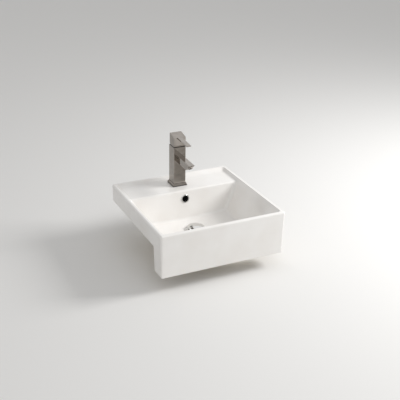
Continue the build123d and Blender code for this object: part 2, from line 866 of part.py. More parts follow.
with BuildPart() as fixed_disc:
    with BuildSketch(over_tap(fixed_disc_bottom)):
        Circle(fixed_disc_radius)
        with Locations(*port_places):
            Circle(port_radius, mode=Mode.SUBTRACT)
    extrude(amount=disc_height)
fixed_disc.part.label = "fixed_disc"
export_step(fixed_disc.part, "parts/fixed_disc.step")

# The pocket below the moving disc always lies over the outlet. It clears both supplies at any
# swing while the lever is down, and reaches them when the disc slides forward.
with BuildPart() as moving_disc:
    with BuildSketch(over_tap(moving_disc_bottom)):
        Circle(moving_disc_radius)
    extrude(amount=disc_height)
    pocket_back = mixed_y_offset + port_radius + face_gap
    with BuildSketch(over_tap(moving_disc_bottom)):
        Circle(hypot(supply_spacing, supply_y_offset) - port_radius - face_gap)
        with Locations((0, pocket_back / 2)):
            Rectangle(2 * pocket_half, pocket_back)
    extrude(amount=disc_height / 2, mode=Mode.SUBTRACT)
moving_disc.part.label = "moving_disc"
export_step(moving_disc.part, "parts/moving_disc.step")

with BuildPart() as disc_carrier:
    with BuildSketch(over_tap(carrier_bottom)):
        Circle(moving_disc_radius)
        Rectangle(carrier_slot_width, 2 * (stem_ball_radius + carrier_slot_gap), mode=Mode.SUBTRACT)
    extrude(amount=carrier_height)
disc_carrier.part.label = "disc_carrier"
export_step(disc_carrier.part, "parts/disc_carrier.step")

with BuildPart() as rotor:
    with BuildSketch(over_tap(rotor_bottom)):
        Circle(rotor_radius)
        Rectangle(stem_side + 2 * stem_side_gap, rotor_slot_length, mode=Mode.SUBTRACT)
    extrude(amount=rotor_height)
    with BuildSketch(Plane((0, tap_y, pivot_height), x_dir=(0, 1, 0), z_dir=(1, 0, 0))):
        Circle(stem_pin_radius + stem_pin_gap)
    extrude(amount=rotor_radius, both=True, mode=Mode.SUBTRACT)
rotor.part.label = "rotor"
export_step(rotor.part, "parts/rotor.step")

with BuildPart() as stem_pin:
    with BuildSketch(Plane((0, tap_y, pivot_height), x_dir=(0, 1, 0), z_dir=(1, 0, 0))):
        Circle(stem_pin_radius)
    extrude(amount=rotor_radius - stem_pin_radius, both=True)
stem_pin.part.label = "stem_pin"
export_step(stem_pin.part, "parts/stem_pin.step")

# Stem: square above the pin, a thin neck with a ball below it, the ball in the carrier's slot.
with BuildPart() as stem:
    with BuildSketch(over_tap(stem_square_bottom)):
        Rectangle(stem_side, stem_side)
    extrude(amount=stem_top - stem_square_bottom)
    with BuildSketch(over_tap(stem_square_bottom)):
        Circle(stem_neck_radius)
    extrude(amount=ball_height - stem_square_bottom)
    with BuildSketch(Plane((0, tap_y, ball_height), x_dir=(1, 0, 0), z_dir=(0, -1, 0))):
        with BuildLine():
            ThreePointArc((0, -stem_ball_radius), (stem_ball_radius, 0), (0, stem_ball_radius))
            Line((0, stem_ball_radius), (0, -stem_ball_radius))
        make_face()
    revolve(axis=tap_axis)
    with BuildSketch(Plane((0, tap_y, pivot_height), x_dir=(0, 1, 0), z_dir=(1, 0, 0))):
        Circle(stem_pin_radius + stem_pin_gap)
    extrude(amount=stem_side, both=True, mode=Mode.SUBTRACT)
stem.part.label = "stem"
export_step(stem.part, "parts/stem.step")

with BuildPart() as cartridge_housing:
    with BuildSketch(over_tap(fixed_disc_bottom)):
        Circle(cartridge_radius)
    extrude(amount=housing_ceiling + cartridge_lid - fixed_disc_bottom)
    with BuildSketch(over_tap(fixed_disc_bottom)):
        Circle(housing_inner)
    extrude(amount=housing_ceiling - fixed_disc_bottom, mode=Mode.SUBTRACT)
    with BuildSketch(over_tap(housing_ceiling)):
        Circle(cartridge_opening)
    extrude(amount=cartridge_lid, mode=Mode.SUBTRACT)
cartridge_housing.part.label = "cartridge_housing"
export_step(cartridge_housing.part, "parts/cartridge_housing.step")

with BuildPart() as cartridge_nut:
    with BuildSketch(over_tap(cap_nut_bottom)):
        Circle(cartridge_radius + cartridge_bore_gap / 2)
        Circle(cap_nut_bore, mode=Mode.SUBTRACT)
    extrude(amount=cap_nut_height)
cartridge_nut.part.label = "cartridge_nut"
export_step(cartridge_nut.part, "parts/cartridge_nut.step")

# Lever: a hollow square head with a flat blade, clamped on the stem by a grub screw.
head_front_y = column_front
head_rear_y = tap_y + head_rear
head_front_top = head_bottom + head_front_height
head_half = column_side / 2
blade_tip_y = column_front - blade_reach
blade_tip_top = head_front_top - blade_reach * tan(radians(blade_slope))
socket_bottom = head_bottom + socket_start
grub_height = head_bottom + grub_screw_height
stem_face = tap_y + stem_side / 2


def roof_at(y):
    """Height of the head's sloping top at this depth."""
    return head_front_top + (y - head_front_y) * tan(radians(head_slope))


with BuildPart() as head_block:
    with BuildSketch(Plane.YZ):
        with BuildLine():
            Polyline(
                (head_front_y, head_bottom),
                (head_rear_y, head_bottom),
                (head_rear_y, roof_at(head_rear_y)),
                (head_front_y, head_front_top),
                close=True,
            )
        make_face()
    extrude(amount=head_half, both=True)
    fillet(head_block.edges().filter_by_position(Axis.Z, head_bottom + 1, 2 * head_bottom), head_edge_round)
    with BuildSketch(Plane.YZ):
        with BuildLine():
            Polyline(
                (head_front_y + head_wall, head_bottom),
                (head_rear_y - head_wall, head_bottom),
                (head_rear_y - head_wall, roof_at(head_rear_y - head_wall) - head_roof),
                (head_front_y + head_wall, roof_at(head_front_y + head_wall) - head_roof),
                close=True,
            )
        make_face()
    extrude(amount=head_half - head_wall, both=True, mode=Mode.SUBTRACT)

with BuildPart() as handle:
    blade_rear = head_front_y + 2 * head_wall
    with BuildSketch(Plane.YZ):
        with BuildLine():
            Polyline(
                (blade_rear, roof_at(blade_rear)),
                (head_front_y, head_front_top),
                (blade_tip_y, blade_tip_top),
                (blade_tip_y, blade_tip_top - blade_tip_thickness),
                (head_front_y, head_front_top - blade_root_thickness),
                (blade_rear, head_front_top - blade_root_thickness),
                close=True,
            )
        make_face()
    extrude(amount=blade_width / 2, both=True)
    fillet(handle.edges().filter_by_position(Axis.Y, blade_tip_y - 1, blade_rear - 0.1), head_edge_round)
    add(head_block.part)
    with BuildSketch(Plane.YZ):
        with BuildLine():
            Polyline(
                (tap_y - socket_side / 2, socket_bottom),
                (tap_y + socket_side / 2, socket_bottom),
                (tap_y + socket_side / 2, roof_at(tap_y + socket_side / 2) - head_roof / 2),
                (tap_y - socket_side / 2, roof_at(tap_y - socket_side / 2) - head_roof / 2),
                close=True,
            )
        make_face()
    extrude(amount=socket_side / 2, both=True)
    with BuildSketch(Plane.XZ.offset(-(head_rear_y - head_wall / 2))):
        with Locations((0, grub_height)):
            Rectangle(4 * grub_screw_radius, 4 * grub_screw_radius)
    extrude(amount=head_rear_y - head_wall / 2 - tap_y - socket_side / 2 + 1)
    with BuildSketch(over_tap(socket_bottom)):
        Rectangle(stem_side + 2 * stem_side_gap, stem_side + 2 * stem_side_gap)
    extrude(amount=stem_top + face_gap - socket_bottom, mode=Mode.SUBTRACT)
    with BuildSketch(Plane.XZ.offset(-head_rear_y)):
        with Locations((0, grub_height)):
            Circle(grub_screw_radius + face_gap)
    extrude(amount=head_rear_y - tap_y, mode=Mode.SUBTRACT)
    with BuildSketch(Plane.XZ.offset(-head_rear_y)):
        with Locations((0, grub_height)):
            Circle(screw_cap_radius + face_gap)
    extrude(amount=screw_cap_depth + face_gap, mode=Mode.SUBTRACT)
    relief_start = tap_y + lift_relief_start
    relief_end = head_rear_y + 1
    with BuildSketch(Plane.YZ):
        with BuildLine():
            Polyline(
                (relief_start, head_bottom),
                (relief_end, head_bottom),
                (relief_end, head_bottom + (relief_end - relief_start) * tan(radians(lift_angle))),
                close=True,
            )
        make_face()
    extrude(amount=column_side, both=True, mode=Mode.SUBTRACT)
handle.part.label = "handle"
export_step(handle.part, "parts/handle.step")

with BuildPart() as grub_screw:
    with BuildSketch(Plane.XZ.offset(-(stem_face + face_gap))):
        with Locations((0, grub_height)):
            Circle(grub_screw_radius)
    extrude(amount=-grub_screw_length)
    with BuildSketch(Plane.XZ.offset(-(stem_face + face_gap + grub_screw_length))):
        with Locations((0, grub_height)):
            RegularPolygon(grub_screw_radius / 2, 6)
    extrude(amount=grub_screw_length / 2, mode=Mode.SUBTRACT)
grub_screw.part.label = "grub_screw"
export_step(grub_screw.part, "parts/grub_screw.step")

with BuildPart() as screw_cap:
    with BuildSketch(Plane.XZ.offset(-head_rear_y)):
        with Locations((0, grub_height)):
            Circle(screw_cap_radius)
    extrude(amount=screw_cap_depth)
screw_cap.part.label = "screw_cap"
export_step(screw_cap.part, "parts/screw_cap.step")

# Aerator: a chromed sleeve in the spout's end, its perforated insert, and a seal above them.
with BuildPart() as aerator_housing:
    with BuildSketch(aerator_plane.offset(-aerator_sink)):
        Circle(aerator_radius)
        Circle(aerator_radius - aerator_wall, mode=Mode.SUBTRACT)
    extrude(amount=aerator_sink + aerator_stand_out)
    chamfer(aerator_housing.faces().sort_by(Axis.Z)[0].outer_wire().edges(), aerator_wall / 3)
aerator_housing.part.label = "aerator_housing"
export_step(aerator_housing.part, "parts/aerator_housing.step")

with BuildPart() as aerator_insert:
    with BuildSketch(aerator_plane.offset(aerator_stand_out - aerator_wall - aerator_insert_length)):
        Circle(aerator_radius - aerator_wall - face_gap)
        Circle(aerator_hole_radius, mode=Mode.SUBTRACT)
        for row in range(1, aerator_rings + 1):
            with PolarLocations(row * aerator_hole_pitch, 6 * row):
                Circle(aerator_hole_radius, mode=Mode.SUBTRACT)
    extrude(amount=aerator_insert_length)
aerator_insert.part.label = "aerator_insert"
export_step(aerator_insert.part, "parts/aerator_insert.step")

with BuildPart() as aerator_seal:
    with BuildSketch(aerator_plane.offset(-socket_depth)):
        Circle(aerator_radius)
        Circle(aerator_radius - aerator_wall, mode=Mode.SUBTRACT)
    extrude(amount=aerator_seal_height - face_gap)
aerator_seal.part.label = "aerator_seal"
export_step(aerator_seal.part, "parts/aerator_seal.step")

# Fixing below the deck: horseshoe gasket and plate on two studs with nuts.
clamp_slot_end = clamp_radius + column_side
clamp_gasket_bottom = deck_underside - clamp_gasket_thickness
clamp_plate_bottom = clamp_gasket_bottom - clamp_plate_thickness

with BuildPart() as clamp_gasket:
    with BuildSketch(over_tap(clamp_gasket_bottom)):
        Circle(clamp_radius)
        with Locations((0, (hose_space_low_front + clamp_slot_end) / 2)):
            Rectangle(2 * clamp_slot_half, clamp_slot_end - hose_space_low_front, mode=Mode.SUBTRACT)
        with Locations(*stud_places):
            Circle(stud_radius + stud_hole_gap, mode=Mode.SUBTRACT)
    extrude(amount=clamp_gasket_thickness)
clamp_gasket.part.label = "clamp_gasket"
export_step(clamp_gasket.part, "parts/clamp_gasket.step")

with BuildPart() as clamp_plate:
    with BuildSketch(over_tap(clamp_plate_bottom)):
        Circle(clamp_radius)
        with Locations((0, (hose_space_low_front + clamp_slot_end) / 2)):
            Rectangle(2 * clamp_slot_half, clamp_slot_end - hose_space_low_front, mode=Mode.SUBTRACT)
        with Locations(*stud_places):
            Circle(stud_radius + stud_hole_gap, mode=Mode.SUBTRACT)
    extrude(amount=clamp_plate_thickness)
clamp_plate.part.label = "clamp_plate"
export_step(clamp_plate.part, "parts/clamp_plate.step")

with BuildPart() as fixing_stud:
    with BuildSketch(over_tap(deck_underside - stud_hang)):
        with Locations(*stud_places):
            Circle(stud_radius)
    extrude(amount=column_bottom + stud_sunk - face_gap - (deck_underside - stud_hang))
fixing_stud.part.label = "fixing_stud"
export_step(fixing_stud.part, "parts/fixing_stud.step")

with BuildPart() as fixing_nut:
    with BuildSketch(over_tap(clamp_plate_bottom)):
        with Locations(*stud_places):
            RegularPolygon(nut_across_flats / 2, 6, major_radius=False)
            Circle(stud_radius + face_gap, mode=Mode.SUBTRACT)
    extrude(amount=-nut_height)
fixing_nut.part.label = "fixing_nut"
export_step(fixing_nut.part, "parts/fixing_nut.step")
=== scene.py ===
import math

import bmesh
import bpy
from mathutils import Matrix, Vector


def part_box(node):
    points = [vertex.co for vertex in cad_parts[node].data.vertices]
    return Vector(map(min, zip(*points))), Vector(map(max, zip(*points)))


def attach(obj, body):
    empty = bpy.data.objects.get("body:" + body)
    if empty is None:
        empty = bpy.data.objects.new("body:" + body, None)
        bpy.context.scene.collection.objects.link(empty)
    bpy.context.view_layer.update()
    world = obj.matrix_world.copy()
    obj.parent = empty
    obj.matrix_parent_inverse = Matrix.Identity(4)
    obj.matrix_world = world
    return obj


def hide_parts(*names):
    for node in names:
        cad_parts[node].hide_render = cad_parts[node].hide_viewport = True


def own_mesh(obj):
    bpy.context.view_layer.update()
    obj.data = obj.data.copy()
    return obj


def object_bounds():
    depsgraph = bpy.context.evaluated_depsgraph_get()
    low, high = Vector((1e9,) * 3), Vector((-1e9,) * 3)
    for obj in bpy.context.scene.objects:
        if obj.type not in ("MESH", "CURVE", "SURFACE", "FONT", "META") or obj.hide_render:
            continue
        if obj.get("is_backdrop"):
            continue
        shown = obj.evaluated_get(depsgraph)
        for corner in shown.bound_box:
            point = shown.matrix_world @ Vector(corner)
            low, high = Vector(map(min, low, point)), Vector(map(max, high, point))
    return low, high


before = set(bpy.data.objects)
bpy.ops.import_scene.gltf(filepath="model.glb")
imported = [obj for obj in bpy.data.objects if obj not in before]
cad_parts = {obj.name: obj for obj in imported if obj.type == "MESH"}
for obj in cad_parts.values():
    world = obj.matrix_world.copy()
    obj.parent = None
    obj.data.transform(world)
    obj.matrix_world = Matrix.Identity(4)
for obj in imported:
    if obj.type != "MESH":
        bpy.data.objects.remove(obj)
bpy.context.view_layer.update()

bl_info = {
    "name": "Washbasin dressing",
    "version": (1, 0, 0),
    "blender": (4, 5, 0),
    "location": "3D View > Sidebar > Washbasin",
    "description": "Gives the packed washbasin and its tap their finishes, threads and studio",
    "category": "Object",
}

MM = 0.001

CHROMED = ("tap_body", "handle", "aerator_housing")
PAINTED_LIGHTER_CHROMED = ("overflow_ring", "waste_flange", "plug_cap")
BRASS = ("waste_backnut", "plug_stem", "cartridge_nut", "stem")
RUBBER = (
    "waste_top_seal",
    "waste_bottom_seal",
    "plug_seal",
    "tap_base_gasket",
    "port_seal",
    "aerator_seal",
    "clamp_gasket",
)
STEEL = ("plug_spring", "clamp_plate", "fixing_nut", "grub_screw", "stem_pin")
ALUMINA = ("fixed_disc", "moving_disc")
ACETAL = (
    "plug_barrel",
    "plug_spider",
    "cartridge_base",
    "disc_carrier",
    "rotor",
    "cartridge_housing",
    "waste_slip_washer",
)


def linear(hex_colour):
    """An sRGB hex colour as linear red, green, blue and alpha."""
    channels = [int(hex_colour[i : i + 2], 16) / 255 for i in (1, 3, 5)]
    return tuple(c / 12.92 if c <= 0.04045 else ((c + 0.055) / 1.055) ** 2.4 for c in channels) + (1.0,)


def linear_of(colour):
    """A colour property, which Blender keeps linear, with its alpha."""
    return tuple(colour) + (1.0,)


def add_node(tree, kind, settings=(), inputs=(), links=()):
    """Adds a node, with its properties, its socket values and the sockets that feed it."""
    node = tree.nodes.new(kind)
    for name, value in dict(settings).items():
        setattr(node, name, value)
    for name, value in dict(inputs).items():
        node.inputs[name].default_value = value
    for name, source in dict(links).items():
        tree.links.new(source, node.inputs[name])
    return node


def new_material(name):
    """An empty node material with its output, and the object coordinates to draw on."""
    material = bpy.data.materials.new(name)
    material.use_nodes = True
    tree = material.node_tree
    tree.nodes.clear()
    place = add_node(tree, "ShaderNodeTexCoord").outputs["Object"]
    return material, tree, place


def finish_surface(tree, shader):
    """Links a shader to a new material output."""
    add_node(tree, "ShaderNodeOutputMaterial", links={"Surface": shader.outputs[0]})


def noise(tree, place, size, detail=2.0, roughness=0.5):
    """Noise whose blobs are about this many metres across."""
    inputs = {"Scale": 1 / size, "Detail": detail, "Roughness": roughness}
    return add_node(tree, "ShaderNodeTexNoise", inputs=inputs, links={"Vector": place}).outputs["Fac"]


def blend_between(tree, factor, low, high, start=0.35, stop=0.65):
    """A colour that runs from low to high as the factor goes from start to stop."""
    ramp = add_node(tree, "ShaderNodeValToRGB", links={"Fac": factor})
    ramp.color_ramp.elements[0].position = start
    ramp.color_ramp.elements[0].color = low
    ramp.color_ramp.elements[1].position = stop
    ramp.color_ramp.elements[1].color = high
    return ramp.outputs["Color"]


def spread(tree, factor, low, high):
    """The factor 0 to 1 mapped to the numbers low to high."""
    inputs = {"To Min": low, "To Max": high}
    return add_node(tree, "ShaderNodeMapRange", inputs=inputs, links={"Value": factor}).outputs["Result"]


def bump(tree, height, depth, others=()):
    """A normal bent by a height field this many metres deep."""
    links = {"Height": height, **dict(others)}
    return add_node(tree, "ShaderNodeBump", inputs={"Distance": depth}, links=links).outputs["Normal"]


def math_of(tree, operation, first, second):
    """Two number sockets joined by a math operation."""
    links = {0: first, 1: second}
    return add_node(tree, "ShaderNodeMath", settings={"operation": operation}, links=links).outputs[0]


def masked(tree, mask, outside, inside):
    """One colour socket outside a mask and another inside it."""
    links = {0: mask, 6: outside, 7: inside}
    return add_node(tree, "ShaderNodeMix", settings={"data_type": "RGBA"}, links=links).outputs[2]


def inside_box(tree, place, low, high):
    """A mask that is 1 between two corners and 0 elsewhere."""
    centre = [(a + b) / 2 for a, b in zip(low, high)]
    half = [(b - a) / 2 for a, b in zip(low, high)]
    share = place
    for operation, corner in (("SUBTRACT", centre), ("DIVIDE", half)):
        settings = {"operation": operation}
        share = add_node(tree, "ShaderNodeVectorMath", settings, {1: corner}, {0: share}).outputs[0]
    size = add_node(tree, "ShaderNodeVectorMath", {"operation": "ABSOLUTE"}, links={0: share}).outputs[0]
    axes = add_node(tree, "ShaderNodeSeparateXYZ", links={0: size}).outputs
    farthest = math_of(tree, "MAXIMUM", math_of(tree, "MAXIMUM", axes[0], axes[1]), axes[2])
    return add_node(tree, "ShaderNodeMath", {"operation": "LESS_THAN"}, {1: 1.0}, {0: farthest}).outputs[0]


def glazed_vitreous_china(finish):
    """Slip-cast clay, sprayed with opaque white glaze and fired: a deep wet gloss with faint orange peel,
    bare matt clay on the faces that stood in the kiln, and a matt unglazed overflow duct whose inside is
    painted near black as shade."""
    material, tree, place = new_material("glazed_vitreous_china")
    cloud = noise(tree, place, finish.cloud_size)
    glaze = blend_between(tree, cloud, linear_of(finish.glaze), linear_of(finish.glaze_thick))
    grain = noise(tree, place, finish.clay_grain, detail=4.0)
    clay = blend_between(tree, grain, linear("#d9cdb6"), linear_of(finish.clay))
    # Painted shade: near black inside the overflow duct, for the dark inside the hole.
    painted_duct_shade = blend_between(tree, grain, linear("#0e0d0c"), linear("#1b1917"))
    normal = add_node(tree, "ShaderNodeTexCoord").outputs["Normal"]
    up = add_node(tree, "ShaderNodeSeparateXYZ", links={"Vector": normal}).outputs["Z"]
    # Faces that look straight down, within about 10 degrees, stood on the kiln shelf.
    bare = add_node(
        tree, "ShaderNodeMapRange", inputs={"From Min": -0.97, "From Max": -0.995}, links={"Value": up}
    ).outputs["Result"]
    duct = inside_box(tree, place, *duct_box())
    matt = math_of(tree, "MAXIMUM", bare, duct)
    peel = bump(tree, noise(tree, place, finish.peel_size, detail=1.0), finish.peel_depth)
    shader = add_node(
        tree,
        "ShaderNodeBsdfPrincipled",
        inputs={"IOR": 1.52},
        links={
            "Base Color": masked(tree, duct, masked(tree, bare, glaze, clay), painted_duct_shade),
            "Roughness": spread(tree, matt, 0.08, 0.85),
            "Normal": bump(tree, grain, 0.15 * MM, {"Strength": matt, "Normal": peel}),
        },
    )
    finish_surface(tree, shader)
    return material


def duct_box():
    """Two corners round the inside of the overflow duct, from behind its ring down to the waste."""
    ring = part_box("overflow_ring")
    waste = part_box("waste_flange")
    half_width = 19 * MM
    depth = 18 * MM
    ring_overlap = 1 * MM
    above_ring = 2 * MM
    below_flange = 12 * MM
    front = ring[1][1] - ring_overlap
    low = (-half_width, front, waste[0][2] - below_flange)
    high = (half_width, front + depth, ring[1][2] + above_ring)
    return low, high


def chromium_plate(name, plate, plate_haze, finish):
    """Cast brass, ground, buffed and plated with bright nickel and chromium: a grey mirror, with the
    faint waves that buffing leaves, a breath of haze, and painted shade: near-black, matt faces in the gap
    below the lever's head and in the hollow inside."""
    material, tree, place = new_material(name)
    haze = noise(tree, place, finish.haze_size, detail=3.0)
    waves = noise(tree, place, finish.buffing_wave, detail=1.0)
    colour = blend_between(tree, haze, linear_of(plate), linear_of(plate_haze))
    # Painted shade: near black, matt and not metallic in the gap below the lever's head and in the hollow
    # inside, for the shadow there.
    painted_shade_colour = blend_between(tree, haze, linear("#0c0b0b"), linear("#161413"))
    gap, hollow = lever_gap_boxes()
    painted_gap_shade = math_of(tree, "MAXIMUM", inside_box(tree, place, *gap), inside_box(tree, place, *hollow))
    buffed = spread(tree, haze, 0.02, 0.07)
    dull = spread(tree, painted_gap_shade, 0.0, 0.6)
    shader = add_node(
        tree,
        "ShaderNodeBsdfPrincipled",
        links={
            "Base Color": masked(tree, painted_gap_shade, colour, painted_shade_colour),
            "Metallic": spread(tree, painted_gap_shade, 1.0, 0.0),
            "Roughness": math_of(tree, "MAXIMUM", buffed, dull),
            "Normal": bump(tree, waves, finish.wave_depth),
        },
    )
    finish_surface(tree, shader)
    return material


def lever_gap_boxes():
    """Corners round the two faces at the gap below the lever's head, and round the hollow inside, where
    shade is painted.
    """
    low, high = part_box("tap_foot")
    half = (high[0] - low[0]) / 2
    middle = (low[1] + high[1]) / 2
    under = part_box("tap_body")[1][2]
    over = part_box("handle")[0][2]
    skin = 0.3 * MM
    gap = ((-half, middle - half, under - skin), (half, middle + half, over + skin))
    foot_edge_and_wall = 6.5 * MM
    rear_wall = 4 * MM
    depth = 8 * MM
    inner = half - foot_edge_and_wall
    hollow = ((-inner, middle - inner, under - depth), (inner, middle + inner - rear_wall, over + depth))
    return gap, hollow


def turned_brass():
    """Bar brass, turned on a lathe: warm metal with fine rings round the upright axis."""
    material, tree, place = new_material("turned_brass")
    # Tool marks: real ones are finer, and would not show.
    ring_spacing = 0.6 * MM
    rings = add_node(
        tree,
        "ShaderNodeTexWave",
        settings={"wave_type": "BANDS", "bands_direction": "Z"},
        inputs={"Scale": 0.05 / ring_spacing, "Distortion": 0.6, "Detail": 2.0},
        links={"Vector": place},
    ).outputs["Fac"]
    tarnish = noise(tree, place, 9 * MM, detail=5.0)
    shader = add_node(
        tree,
        "ShaderNodeBsdfPrincipled",
        inputs={"Metallic": 1.0},
        links={
            "Base Color": blend_between(tree, tarnish, linear("#b89452"), linear("#d6b878")),
            "Roughness": spread(tree, tarnish, 0.24, 0.4),
            "Normal": bump(tree, rings, 0.02 * MM),
        },
    )
    finish_surface(tree, shader)
    return material


def moulded_epdm_rubber():
    """Compression-moulded black rubber: soft, dull, with a fine dusty grain."""
    material, tree, place = new_material("moulded_epdm_rubber")
    grain = noise(tree, place, 0.4 * MM, detail=3.0)
    dust = noise(tree, place, 12 * MM, detail=3.0)
    shader = add_node(
        tree,
        "ShaderNodeBsdfPrincipled",
        inputs={"IOR": 1.52},
        links={
            "Base Color": blend_between(tree, dust, linear("#161616"), linear("#262524")),
            "Roughness": spread(tree, dust, 0.6, 0.78),
            "Normal": bump(tree, grain, 0.03 * MM),
        },
    )
    finish_surface(tree, shader)
    return material


def drawn_stainless_steel():
    """Drawn and pressed stainless steel: a satin grey with fine draw lines along its length."""
    material, tree, place = new_material("drawn_stainless_steel")
    lines_place = add_node(
        tree, "ShaderNodeMapping", inputs={"Scale": (1.0, 1.0, 0.04)}, links={"Vector": place}
    ).outputs["Vector"]
    lines = noise(tree, lines_place, 0.3 * MM, detail=3.0)
    shader = add_node(
        tree,
        "ShaderNodeBsdfPrincipled",
        inputs={"Metallic": 1.0},
        links={
            "Base Color": blend_between(tree, lines, linear("#a9a8a4"), linear("#c4c3bf")),
            "Roughness": spread(tree, lines, 0.22, 0.36),
            "Normal": bump(tree, lines, 0.01 * MM),
        },
    )
    finish_surface(tree, shader)
    return material


def lapped_alumina():
    """Sintered alumina, lapped flat: ivory white, smooth as glass with a faint speckle."""
    material, tree, place = new_material("lapped_alumina")
    speckle = noise(tree, place, 0.5 * MM, detail=4.0)
    shader = add_node(
        tree,
        "ShaderNodeBsdfPrincipled",
        inputs={"IOR": 1.76},
        links={
            "Base Color": blend_between(tree, speckle, linear("#e6e0d0"), linear("#f0ecdf")),
            "Roughness": spread(tree, speckle, 0.15, 0.28),
        },
    )
    finish_surface(tree, shader)
    return material


def moulded_acetal():
    """Injection-moulded acetal: milky white, waxy, with a fine spark-eroded texture."""
    material, tree, place = new_material("moulded_acetal")
    grain = noise(tree, place, 0.3 * MM, detail=3.0)
    flow = noise(tree, place, 15 * MM, detail=2.0)
    shader = add_node(
        tree,
        "ShaderNodeBsdfPrincipled",
        inputs={"IOR": 1.48, "Subsurface Weight": 0.1, "Subsurface Scale": 0.001},
        links={
            "Base Color": blend_between(tree, flow, linear("#dddcd4"), linear("#ecebe4")),
            "Roughness": spread(tree, grain, 0.38, 0.5),
            "Normal": bump(tree, grain, 0.01 * MM),
        },
    )
    finish_surface(tree, shader)
    return material


def moulded_abs(name, dark, light):
    """Injection-moulded ABS: smooth and half glossy."""
    material, tree, place = new_material(name)
    flow = noise(tree, place, 3 * MM, detail=2.0)
    shader = add_node(
        tree,
        "ShaderNodeBsdfPrincipled",
        inputs={"IOR": 1.53},
        links={
            "Base Color": blend_between(tree, flow, linear(dark), linear(light)),
            "Roughness": spread(tree, flow, 0.25, 0.34),
        },
    )
    finish_surface(tree, shader)
    return material


def paint_nodes(names, material):
    """Gives CAD nodes their material, in every slot they have."""
    for name in names:
        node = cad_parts[name]
        if not node.material_slots:
            node.data.materials.append(material)
        for slot in node.material_slots:
            slot.material = material


def spun(outline, centre, steps):
    """A closed (radius, height) outline spun once round the upright line through centre, as a bmesh."""
    shape = bmesh.new()
    corners = [shape.verts.new((centre[0] + r, centre[1], z)) for r, z in outline]
    edges = [shape.edges.new((corners[i - 1], corners[i])) for i in range(len(corners))]
    bmesh.ops.spin(
        shape,
        geom=corners + edges,
        cent=(centre[0], centre[1], 0),
        axis=(0, 0, 1),
        angle=2 * math.pi,
        steps=steps,
        use_merge=True,
        use_duplicate=False,
    )
    bmesh.ops.remove_doubles(shape, verts=shape.verts, dist=1e-6)
    bmesh.ops.recalc_face_normals(shape, faces=shape.faces)
    return shape


def thread_flank(crest, root, pitch, bottom, top):
    """(radius, height) points up the side of a thread, from bottom to top."""
    turns = int((top - bottom) / pitch)
    step = (top - bottom) / turns
    # The corners of one turn, as shares of its height: root flat, crest flat, root flat.
    corners = ((root, 0.06), (crest, 0.44), (crest, 0.56), (root, 0.94))
    return [(radius, bottom + (turn + share) * step) for turn in range(turns) for radius, share in corners]


def keep_piece(shape, name, material, body, replaced):
    """Writes a bmesh as a finished piece that rides on a body and stands for CAD nodes."""
    mesh = bpy.data.meshes.new(name)
    shape.to_mesh(mesh)
    shape.free()
    mesh.materials.append(material)
    piece = bpy.data.objects.new(name, mesh)
    bpy.context.scene.collection.objects.link(piece)
    mesh.shade_smooth()
    crease = math.radians(35)
    mesh.set_sharp_from_angle(angle=crease)
    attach(piece, body)
    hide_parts(*replaced)
    return piece


def cut_away(piece, shape):
    """Takes the space of a bmesh out of a piece."""
    mesh = bpy.data.meshes.new("cutter")
    shape.to_mesh(mesh)
    shape.free()
    cutter = bpy.data.objects.new("cutter", mesh)
    bpy.context.scene.collection.objects.link(cutter)
    cut = piece.modifiers.new("cut", "BOOLEAN")
    cut.operation = "DIFFERENCE"
    cut.solver = "EXACT"
    cut.object = cutter
    bpy.context.view_layer.update()
    whole = piece.evaluated_get(bpy.context.evaluated_depsgraph_get())
    opened = bpy.data.meshes.new_from_object(whole)
    piece.modifiers.clear()
    piece.data = opened
    bpy.data.objects.remove(cutter)


class GlazeFinish(bpy.types.PropertyGroup):
    glaze: bpy.props.FloatVectorProperty(
        name="Glaze",
        description="Colour of the glaze where it is thin",
        subtype="COLOR",
        default=linear("#f2efeb")[:3],
        min=0,
        max=1,
    )
    glaze_thick: bpy.props.FloatVectorProperty(
        name="Thick glaze",
        description="Colour of the glaze where it lies thicker",
        subtype="COLOR",
        default=linear("#f6f4f1")[:3],
        min=0,
        max=1,
    )
    clay: bpy.props.FloatVectorProperty(
        name="Bare clay",
        description="Colour of the unglazed faces below",
        subtype="COLOR",
        default=linear("#e9e0ce")[:3],
        min=0,
        max=1,
    )
    cloud_size: bpy.props.FloatProperty(
        name="Cloud size",
        description="Width of the slow changes in glaze thickness",
        default=90 * MM,
        unit="LENGTH",
    )
    peel_size: bpy.props.FloatProperty(
        name="Orange peel",
        description="Width of the glaze's ripples",
        default=7 * MM,
        unit="LENGTH",
    )
    peel_depth: bpy.props.FloatProperty(
        name="Peel depth",
        description="Depth of the glaze's ripples",
        default=0.03 * MM,
        unit="LENGTH",
        precision=6,
    )
    clay_grain: bpy.props.FloatProperty(
        name="Clay grain",
        description="Grain of the bare clay, drawn coarse enough to show",
        default=0.9 * MM,
        unit="LENGTH",
        precision=5,
    )


